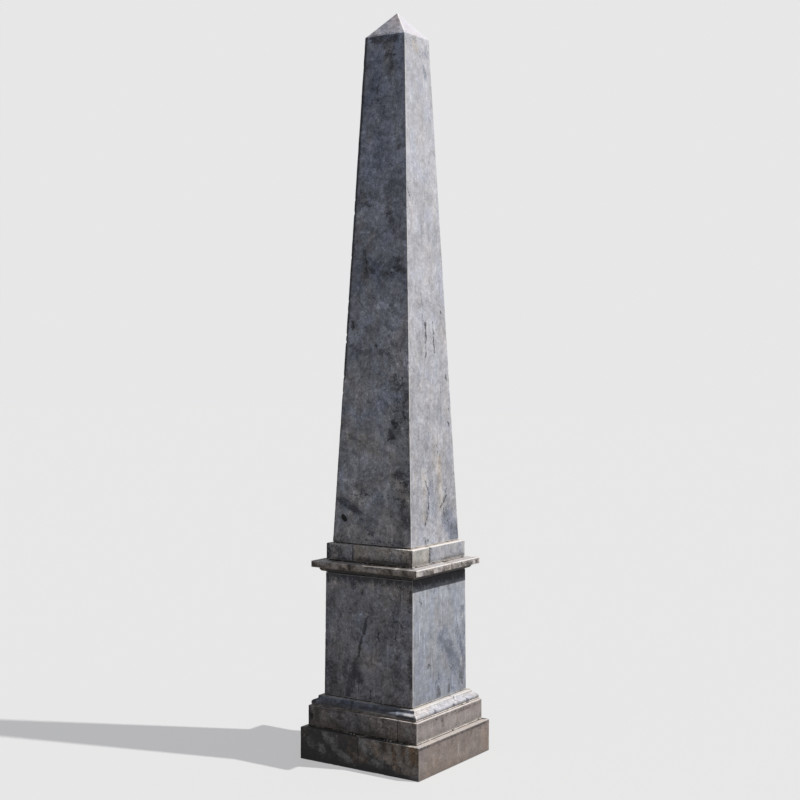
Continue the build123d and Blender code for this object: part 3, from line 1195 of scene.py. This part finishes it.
DIE_CRACKS = {
    "front": [
        (-22, 545, -1, 524, 1.8), (-1, 524, -11, 498, 3.4), (-11, 502, -17, 462, 7.8),
        (-22, 462, -36, 418, 4), (-35, 424, -38, 382, 8.4), (-38, 384, -53, 364, 2.6),
        (65, 514, 44, 480, 2.6), (44, 480, 42, 441, 3), (-114, 520, -114, 511, 4.4),
        (9, 266, 9, 242, 3), (51, 284, 51, 243, 2.6), (114, 468, 115, 457, 3.4),
        (-26, 611, -25, 600, 4.4),
    ],
    "right": [
        (-86, 348, -74, 364, 3), (-74, 364, -60, 352, 3), (-60, 352, -62, 336, 2.4),
        (20, 332, 26, 321, 3.6), (66, 332, 71, 324, 3.6), (41, 397, 44, 388, 2.8),
        (118, 474, 117, 450, 2.8),
    ],
}


DIE_MARKS = {
    # Soot and painted shade down the far left arris
    ("soot", "front"): [
        (-182, 235, -180, 420, 8, 0.9),
    ],
    # The first stroke, a dark band under the cap, is partly grime and partly painted shade
    ("stain", "front"): [
        (-175, 662, 175, 662, 26, 1.1), (-62, 658, -62, 630, 18, 1.0), (168, 640, 172, 560, 12, 0.8),
        (-12, 500, -38, 390, 6, 0.7), (-55, 350, -46, 305, 14, 1.1), (-40, 312, -34, 294, 14, 1.3),
        (-62, 312, -74, 268, 20, 1.05), (-80, 266, -85, 240, 13, 1.1), (-100, 330, -92, 300, 12, 0.7),
        (-158, 335, -144, 272, 24, 0.75), (105, 600, 115, 300, 30, 0.4), (140, 520, 150, 420, 20, 0.35),
        (170, 405, 177, 300, 11, 0.8), (35, 500, 50, 430, 12, 0.3), (-150, 245, 170, 238, 14, 0.5),
    ],
    ("pale", "front"): [
        (-42, 630, -38, 622, 13, 0.5), (-20, 400, 10, 300, 30, 0.45), (60, 350, 92, 300, 34, 0.4),
        (-120, 600, -90, 400, 40, 0.35), (-112, 369, -110, 333, 7, 0.7), (29, 411, 30, 350, 7, 0.7),
        (65, 631, 65, 616, 7, 0.7),
    ],
    ("ochre", "front"): [
        (-150, 640, 175, 630, 34, 0.5), (71, 640, 71, 570, 22, 0.7), (165, 650, 165, 590, 20, 0.7),
    ],
    ("cool", "front"): [
        (-165, 620, -165, 420, 28, 0.55),
    ],
    # Painted shadow: a dark band at the head of the right-hand side, under the cap, deepens its cast
    # shadow
    ("soot", "right"): [
        (-182, 660, 182, 660, 28, 1.0),
    ],
    # The first stroke is painted shadow under the cap, and the others are stains
    ("stain", "right"): [
        (-182, 650, 182, 650, 18, 1.2), (150, 285, 150, 265, 18, 0.75), (-18, 260, -14, 240, 18, 0.8),
        (57, 258, 57, 246, 11, 0.7), (-135, 605, -130, 580, 13, 0.45), (61, 618, 66, 598, 13, 0.45),
        (-73, 352, -71, 342, 15, 0.4),
    ],
    ("ochre", "right"): [
        (-29, 575, -29, 520, 26, 0.45),
    ],
    ("cool", "right"): [
        (15, 445, 110, 330, 40, 0.85), (158, 520, 162, 290, 20, 0.55), (128, 425, 142, 395, 22, 0.9),
        (-60, 300, 100, 270, 45, 0.35),
    ],
    ("pale", "right"): [
        (-120, 520, -70, 430, 50, 0.22), (-30, 490, -40, 430, 40, 0.25), (149, 352, 147, 322, 8, 0.6),
        (10, 530, 10, 450, 7, 0.5), (161, 502, 161, 492, 8, 0.9),
    ],
}


def die():
    """The plain block between base moulding and cap, with its long crack."""
    low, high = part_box("die")
    stone = limestone(
        "die_stone", ["die"], seed=8.4, lines=lines_on("die", DIE_CRACKS),
        shade_foot=colour(130, 127, 131), shade_head=colour(142, 142, 148),
        sun_foot=colour(116, 119, 128), sun_head=colour(142, 145, 153),
        cloud_size=0.10, cloud_contrast=5.4, broad_contrast=0.6, calm=0.45, hue_change=0.5,
        grain_amount=1.5, sun_grain=0.5, run_amount=0.34, fleck_amount=0.55, crack_amount=0.4,
        rubbed=0.9,
    )
    outline = [(high.x, low.z), (half_width_at("die", high.z) + ARRIS, high.z)]
    worn_stone(Blank("worn_die", outline), "die", "stone", stone, DIE_MARKS, seed=2.0,
               chip_depth=0.004, chip_size=0.02, chip_reach=0.008, chip_amount=0.5, hollow=0.0008)


CAP_MARKS = {
    # Painted shade: soot on the quarter-round under the edge, at the front and the right-hand side
    ("soot", "front"): [
        (-166, 670, 200, 670, 6.5, 1.1),
    ],
    ("soot", "right"): [
        (-190, 668, 190, 668, 6, 0.9),
    ],
    # Painted warm bounce light on the left end of the quarter-round
    ("ochre", "front"): [
        (-195, 674, -172, 668, 10, 1.0),
    ],
    # The stroke at level 707 is painted shade over the sunlit part of the front ledge
    ("stain", "front"): [
        (-195, 674, -172, 668, 10, 0.5), (-220, 700, -200, 690, 12, 0.9), (-10, 707, 180, 707, 8, 1.3),
        (-180, 688, -160, 686, 8, 0.7), (-137, 703, -137, 694, 9, 1.0), (-96, 687, -78, 684, 9, 0.9),
        (-57, 698, -54, 686, 9, 1.0), (12, 700, 42, 698, 8, 0.8), (82, 692, 100, 685, 9, 0.9),
        (110, 701, 114, 692, 10, 1.2), (168, 691, 192, 685, 9, 0.9),
    ],
    # The first stroke is painted sunlight on the left end of the top ledge, which lies in shade
    ("pale", "front"): [
        (-195, 709, -150, 709, 10, 1.8), (-120, 699, -117, 689, 10, 1.3), (-16, 700, 4, 692, 11, 1.3),
        (30, 690, 54, 688, 9, 1.2), (132, 698, 141, 689, 10, 1.2),
    ],
    ("pale", "right"): [
        (-206, 692, -186, 688, 9, 1.1), (-98, 692, -78, 690, 8, 1.0), (172, 692, 176, 689, 7.5, 1.2),
        (209, 692, 212, 690, 7.5, 1.1),
    ],
    ("stain", "right"): [
        (-166, 691, -110, 687, 9, 0.75), (-50, 687, -10, 689, 9, 0.5), (20, 692, 26, 687, 8, 0.9),
        (56, 692, 66, 690, 7, 0.9), (88, 692, 96, 687, 8, 0.9), (130, 691, 156, 688, 8, 0.9),
        (190, 692, 194, 688, 7.5, 1.0),
    ],
    ("cool", "right"): [
        (120, 691, 158, 689, 9, 0.8),
    ],
}


def cap_outline(nodes):
    """Quarter-round and projecting edge of the cap."""
    low, high = course_box(nodes)
    shelf = high.z - CAP_EDGE_HEIGHT
    round_x = high.x - EDGE_TO_ROUND
    outline = []
    for t in QUARTER_TURN:
        across = round_x - ROUND_RADIUS * (1 - math.sin(t))
        outline.append((across, low.z + ROUND_RADIUS * (1 - math.cos(t))))
    return [*outline, (round_x, shelf), (high.x, shelf), (high.x, high.z)]


def cap():
    """Four brown-grey stones, whose edge stands out over the die."""
    nodes = named("cap_")
    stone = limestone(
        "cap_stone", nodes, seed=9.3,
        shade_foot=colour(104, 93, 80), shade_head=colour(156, 144, 136),
        sun_foot=colour(128, 121, 117), sun_head=colour(130, 123, 120),
        top_shade=colour(134, 129, 126), top_sun=colour(142, 138, 138),
        cloud_size=0.035, cloud_contrast=7.4, calm=1.0, hue_change=0.7, grain_amount=1.4,
        run_amount=0.15, fleck_amount=0.7, rubbed=0.7, crust=WARM_CRUST_AND_SHADE,
    )
    lay_course(nodes, cap_outline(nodes), [stone], CAP_MARKS,
               chip_depth=0.003, chip_size=0.03, chip_reach=0.006, chip_amount=0.5, hollow=0.0006)


COLLAR_MARKS = {
    # Soot and painted shade down the far left arris
    ("soot", "front"): [
        (-174, 715, -172, 762, 8, 0.9),
    ],
    ("stain", "front"): [
        (-166, 720, -164, 752, 8, 1.0), (-160, 740, -120, 742, 18, 0.6), (-130, 712, -80, 712, 9, 0.7),
        (-66, 714, -64, 762, 6, 0.8), (-40, 714, 175, 712, 12, 0.85), (20, 756, 30, 740, 9, 0.6),
        (172, 716, 173, 760, 6, 0.7),
    ],
    ("cool", "front"): [
        (60, 735, 150, 728, 20, 0.5),
    ],
    ("pale", "front"): [
        (-10, 748, 40, 738, 22, 0.9), (-92, 740, -82, 728, 14, 0.7), (-60, 750, -15, 742, 20, 0.9),
    ],
    ("stain", "right"): [
        (-68, 716, -60, 758, 9, 0.75), (10, 714, 170, 712, 8, 0.6),
    ],
    ("pale", "right"): [
        (-110, 745, -95, 730, 14, 0.5),
    ],
    ("cool", "right"): [
        (40, 738, 150, 735, 20, 0.3),
    ],
}


def collar():
    """Beige stones at front and back and blue ones at the sides, laid head to side round a core."""
    nodes = [f"collar_{side}" for side in SIDES]
    shared = {
        "top_shade": colour(172, 167, 164), "top_sun": colour(172, 167, 164), "cloud_size": 0.05,
        "cloud_contrast": 6.2, "calm": 0.45, "fleck_amount": 0.75, "grain_amount": 1.1,
        "run_amount": 0.15, "foot_grime": 0.5, "rubbed": 0.6, "joint_grime": 0.25,
    }
    beige = limestone(
        "collar_beige_stone", nodes, seed=2.2,
        shade_foot=colour(156, 149, 142), shade_head=colour(174, 167, 160),
        sun_foot=colour(136, 133, 130), sun_head=colour(143, 141, 138), hue_change=0.6, **shared,
    )
    blue = limestone(
        "collar_blue_stone", nodes, seed=4.9,
        shade_foot=colour(146, 146, 152), shade_head=colour(158, 157, 160),
        sun_foot=colour(141, 141, 146), sun_head=colour(149, 149, 154), hue_change=0.7, **shared,
    )
    lay_course(nodes, upright_outline(nodes), [beige, blue], COLLAR_MARKS,
               chip_depth=0.003, chip_size=0.035, chip_reach=0.006, chip_amount=0.4, hollow=0.0007)
    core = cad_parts["collar_core"].data.materials
    core.clear()
    core.append(plain_mineral("core_stone", colour(104, 101, 97), colour(150, 146, 140), 30.0))


SHAFT_CRACKS = {
    "front": [
        (10, 2476, 44, 2471, 4.2), (60, 2144, 90, 2160, 2.2), (-55, 1770, -47, 1718, 3.4),
        (28, 1706, 66, 1722, 2.4), (66, 1722, 101, 1728, 3), (-104, 1545, -98, 1520, 6),
        (-90, 936, -12, 947, 3), (-12, 947, 30, 938, 3), (30, 938, 70, 945, 2.5),
        (61, 1139, 78, 1150, 8), (76, 1198, 86, 1186, 11), (122, 1228, 130, 1215, 8),
        (124, 1000, 136, 992, 8), (105, 1348, 109, 1343, 5),
    ],
    "right": [
        (-36, 1649, -33, 1565, 2.8), (-33, 1565, -17, 1535, 3.4), (-17, 1535, -17, 1410, 4.4),
        (31, 1554, 30, 1512, 3), (30, 1512, 42, 1457, 3.6), (42, 1457, 33, 1414, 2.6),
        (86, 1584, 93, 1576, 6), (-95, 2005, -90, 1976, 4), (75, 1335, 68, 1231, 2),
        (38, 1152, 33, 1060, 2.2), (-56, 990, -31, 956, 3.6), (-31, 956, -40, 880, 4.4),
        (-40, 880, -67, 839, 5), (90, 953, 82, 923, 4.6), (82, 923, 40, 895, 4), (61, 891, 64, 860, 3),
        (-74, 800, -62, 775, 5), (-62, 775, -48, 785, 4), (116, 1352, 120, 1342, 6),
        (121, 1240, 125, 1230, 5), (114, 1186, 124, 1174, 6),
    ],
}


SHAFT_MARKS = {
    # Soot and painted shade down the far left arris
    ("soot", "front"): [
        (-139, 1350, -83, 2538, 12.5, 1.5), (-163, 775, -139, 1330, 10, 0.75),
    ],
    ("stain", "front"): [
        (-40, 2537, 40, 2535, 22, 0.9), (10, 2472, 40, 2470, 11, 0.9), (28, 2468, 32, 2430, 10, 1.0),
        (-40, 2385, -10, 2320, 22, 0.5), (0, 2520, 30, 2490, 22, 0.6), (70, 2145, 91, 2156, 10, 0.5),
        (-80, 2000, -20, 1985, 14, 0.5), (-85, 1975, -45, 1955, 20, 0.55),
        (35, 1925, 58, 1862, 20, 0.5), (-60, 1790, -50, 1710, 16, 0.6), (-50, 1740, -46, 1720, 10, 0.8),
        (-34, 1726, -22, 1720, 11, 0.7), (20, 1708, 36, 1712, 10, 0.75), (50, 1763, 78, 1756, 12, 0.7),
        (70, 1735, 106, 1720, 14, 0.75), (4, 1748, 18, 1756, 8, 0.6), (-103, 1540, -101, 1525, 8, 1.0),
        (-110, 1465, 110, 1440, 34, 0.32), (75, 1340, 135, 1290, 32, 0.5),
        (115, 1260, 80, 1180, 44, 0.48), (66, 1160, 80, 1140, 20, 0.7), (142, 1230, 155, 850, 16, 0.42),
        (100, 1020, 140, 990, 22, 0.85), (-62, 972, -36, 940, 18, 0.6), (-135, 922, -46, 876, 15, 0.6),
        (-128, 914, -98, 896, 8, 1.2), (-98, 896, -56, 879, 8, 1.3), (111, 940, 150, 850, 30, 0.7),
        (100, 850, 130, 800, 22, 0.5), (-12, 830, 0, 805, 18, 0.75), (-150, 785, 140, 780, 18, 0.45),
    ],
    ("ochre", "front"): [
        (-45, 2525, 20, 2505, 26, 0.9), (6, 2478, 12, 2455, 16, 0.5), (112, 990, 138, 925, 22, 1.1),
        (-110, 1170, 0, 1110, 50, 0.55), (20, 1100, 80, 1080, 45, 0.4),
    ],
    ("cool", "front"): [
        (-40, 2460, -30, 2100, 40, 0.3), (-50, 1745, 95, 1700, 46, 0.55),
        (-128, 912, -52, 876, 15, 1.3), (-60, 880, -40, 850, 22, 0.6), (-110, 850, -20, 820, 34, 0.3),
    ],
    ("pale", "front"): [
        (-100, 1150, 10, 1130, 50, 0.36), (-10, 902, 36, 882, 30, 0.5), (-60, 818, -15, 796, 28, 0.45),
        (-69, 1424, -64, 1420, 7, 0.8), (-50, 850, -30, 840, 12, 0.4),
    ],
    ("pale", "right"): [
        (-70, 1002, -60, 984, 15, 0.9), (50, 965, 56, 905, 15, 0.8), (-70, 1430, -68, 1380, 14, 0.5),
        (-62, 1022, -50, 985, 18, 1.0),
    ],
    ("ochre", "right"): [
        (-70, 1002, -60, 984, 18, 0.6), (50, 965, 56, 905, 18, 0.6), (-120, 1365, -123, 1320, 14, 0.4),
        (44, 1060, 40, 880, 18, 0.85), (-62, 1000, -68, 860, 16, 0.8), (101, 1525, 105, 1490, 10, 0.55),
        (-16, 2534, -18, 2500, 20, 0.9),
    ],
    ("stain", "right"): [
        (-38, 965, -46, 880, 10, 0.55), (78, 930, 46, 896, 10, 0.6), (-14, 1540, -20, 1470, 8, 0.5),
        (34, 1540, 38, 1440, 8, 0.45), (-35, 950, -40, 890, 9, 0.5), (80, 930, 50, 895, 9, 0.5),
        (150, 830, 155, 790, 16, 0.5), (95, 835, 118, 800, 22, 0.45),
    ],
    ("void", "front"): [
        (-123, 861, -113, 851, 9.6, 1.0),
    ],
    ("cool", "right"): [
        (90, 850, 125, 790, 36, 1.8), (-14, 990, -10, 870, 16, 0.4), (-130, 960, -120, 800, 28, 0.25),
        (-75, 2530, 60, 2500, 45, 0.4), (35, 2440, 50, 2400, 16, 0.5),
    ],
}


def shaft():
    """The tall tapered stone with its pyramid. The mesh is finer round a void low on the front."""
    low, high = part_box("shaft")
    shoulder = high.z - TIP_HEIGHT
    stone = limestone(
        "shaft_stone", ["shaft"], seed=3.1, lines=lines_on("shaft", SHAFT_CRACKS),
        shade_foot=colour(160, 160, 165), shade_head=colour(131, 137, 154),
        sun_foot=colour(143, 143, 149), sun_head=colour(172, 172, 178),
        top_shade=colour(124, 122, 128), top_sun=colour(164, 161, 167),
        cloud_size=0.11, cloud_contrast=5.2, calm=0.60, head_calm=0.42, hue_change=0.5,
        grain_amount=1.2, run_amount=0.14, fleck_amount=0.55, crack_amount=0.35, rubbed=0.8,
    )
    outline = [(high.x, low.z), (half_width_at("shaft", shoulder), shoulder), (TIP_HALF, high.z)]
    fine = {"fine_levels": (0.842, 0.872), "fine_shares": (0.10, 0.19)}
    blank = Blank("worn_shaft", outline, tip=True, **fine)
    worn_stone(blank, "shaft", "stone", stone, SHAFT_MARKS, seed=1.0,
               chip_depth=0.0045, chip_size=0.03, chip_reach=0.008, chip_amount=0.55, hollow=0.0008)


# Mortar beds with broken faces, and the crumbs that have fallen from them onto the ledges

# Each bed's pale tone on the sunlit sides; the other sides take painted shade
SUNLIT_SIDE_MORTAR = {
    "mortar_on_plinth": colour(168, 160, 154),
    "mortar_on_base_block": colour(205, 197, 190),
    "mortar_on_base_moulding": colour(150, 144, 140),
    "mortar_on_die": colour(120, 114, 108),
    "mortar_on_cap": colour(158, 151, 147),
    "mortar_on_collar": colour(196, 188, 182),
}

# Crumbs by the foot of a bed: how far out they lie, the largest, the share kept, and a seed
CRUMB_LINES = {
    "mortar_on_plinth": (0.0030, 0.0065, 0.13, 4),
    "mortar_on_base_block": (0.0020, 0.0035, 0.10, 9),
    "mortar_on_cap": (0.0020, 0.0048, 0.22, 6),
    "mortar_on_collar": (0.0020, 0.0035, 0.20, 8),
}


def mortar_bed(node, seed):
    """One bed with a broken face, which stands out a little from where the frame has it."""
    low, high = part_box(node)
    face = high.x + POINTING
    blank = Blank(f"broken_{node}", [(face, low.z), (face, high.z)], arris=MORTAR_ARRIS)
    shaded_tones = PALER_SHADED_SIDE_MORTAR if node == "mortar_on_base_block" else SHADED_SIDE_MORTAR
    mortar = lime_mortar(f"lime_{node}", SUNLIT_SIDE_MORTAR[node], shaded_tones)
    worn_stone(blank, node, "mortar", mortar, seed=seed,
               chip_depth=0.0015, chip_size=0.012, chip_reach=0.006, chip_amount=0.6, hollow=0.0010)


def crumb_line(node, reach, largest, share, seed, material):
    """Crumbs that lie at the foot of a bed, along its left-hand side and its front."""
    low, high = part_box(node)
    half = high.x + reach
    level = low.z + CRUMB_LIFT
    corners = [(-half, half, level), (-half, -half, level), (half, -half, level)]
    name = f"crumbs_by_{node}"
    mesh = bpy.data.meshes.new(name)
    mesh.from_pydata(corners, [(0, 1), (1, 2)], [])
    values = {"spacing": largest, "largest": largest, "share": share, "seed": seed}
    piece = evaluated(mesh, name, CRUMBS, material=material, **values)
    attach(piece, "root")


def mortar():
    """All the beds, and crumbs by those that crumble."""
    crumbs = plain_mineral("mortar_crumbs", colour(150, 144, 136), colour(214, 210, 204), 90.0)
    for number, node in enumerate(named("mortar_on_")):
        mortar_bed(node, BED_SEED + number)
    for node, sizes in CRUMB_LINES.items():
        crumb_line(node, *sizes, crumbs)


# Stage, light and camera

def seen(bench):
    """Rays that come from the camera, straight or by way of gloss or glass."""
    path = bench.node("ShaderNodeLightPath").outputs
    straight, glossy, through = (
        Wire(bench, path[ray]) for ray in ("Is Camera Ray", "Is Glossy Ray", "Is Transmission Ray")
    )
    return bench.math("MAXIMUM", straight, bench.math("MAXIMUM", glossy, through))


def output_of(tree, kind):
    """The socket that takes the finished shader."""
    return next(n for n in tree.nodes if n.type == kind).inputs["Surface"]


def floor_material():
    """A pale floor that keeps the shadow and throws little light back on the stone."""
    material, bench, shader = shader_bench("studio_floor")
    bench.tree.nodes.remove(shader)
    plain = bench.out("ShaderNodeBsdfDiffuse", {"Color": FLOOR_COLOUR})
    glow = bench.out("ShaderNodeEmission", {"Color": BACKDROP_COLOUR, "Strength": FLOOR_GLOW})
    shown = bench.out("ShaderNodeAddShader", {0: plain, 1: glow})
    unseen = bench.out("ShaderNodeBsdfDiffuse", {"Color": FLOOR_UNSEEN})
    mixed = bench.out("ShaderNodeMixShader", {0: seen(bench), 1: unseen, 2: shown})
    bench.feed(output_of(bench.tree, "OUTPUT_MATERIAL"), mixed)
    return material


def lay_floor():
    """A wide, level floor under the obelisk."""
    half = FLOOR_SIZE / 2
    corners = [(-half, -half, 0), (half, -half, 0), (half, half, 0), (-half, half, 0)]
    mesh = bpy.data.meshes.new("floor")
    mesh.from_pydata(corners, [], [(0, 1, 2, 3)])
    mesh.materials.append(floor_material())
    floor = bpy.data.objects.new("floor", mesh)
    bpy.context.scene.collection.objects.link(floor)


def key_lamp():
    """One small, strong lamp, which stands for the sun."""
    lamp = bpy.data.lights.new("key_lamp", "SUN")
    lamp.energy = KEY_STRENGTH
    lamp.angle = KEY_SPREAD
    lamp.color = KEY_COLOUR
    holder = bpy.data.objects.new("key_lamp", lamp)
    holder.rotation_mode = "QUATERNION"
    holder.rotation_quaternion = Vector(KEY_DIRECTION).to_track_quat("Z", "Y")
    bpy.context.scene.collection.objects.link(holder)


def room():
    """Soft light from all round, with a pale backdrop behind it."""
    world = bpy.data.worlds.new("pale_room")
    world.use_nodes = True
    bench = Bench(world.node_tree)
    lit = bench.out("ShaderNodeBackground", {"Color": ROOM_COLOUR, "Strength": ROOM_STRENGTH})
    shown = bench.out("ShaderNodeBackground", {"Color": BACKDROP_COLOUR, "Strength": 1.0})
    mixed = bench.out("ShaderNodeMixShader", {0: seen(bench), 1: lit, 2: shown})
    bench.feed(output_of(bench.tree, "OUTPUT_WORLD"), mixed)
    bpy.context.scene.world = world


def camera():
    """The photograph's camera, off the front right corner and looking a little down."""
    data = bpy.data.cameras.new("camera")
    data.sensor_width = SENSOR_WIDTH
    data.lens = FOCAL_PIXELS / PHOTO_SIZE * SENSOR_WIDTH
    data.shift_x = (PHOTO_SIZE / 2 - PRINCIPAL_X) / PHOTO_SIZE
    data.clip_end = VIEW_DEPTH
    holder = bpy.data.objects.new("camera", data)
    holder.location = CAMERA_PLACE
    level, tilt = math.cos(CAMERA_PITCH), math.sin(CAMERA_PITCH)
    looking = Vector((-math.sin(CAMERA_AZIMUTH) * level, math.cos(CAMERA_AZIMUTH) * level, tilt))
    holder.rotation_mode = "QUATERNION"
    holder.rotation_quaternion = looking.to_track_quat("-Z", "Y")
    bpy.context.scene.collection.objects.link(holder)
    bpy.context.scene.camera = holder


for build in (plinth, base_block, base_moulding, die, cap, collar, shaft, mortar):
    build()

for set_up in (lay_floor, key_lamp, room, camera):
    set_up()
bpy.context.scene.view_settings.view_transform = "Standard"
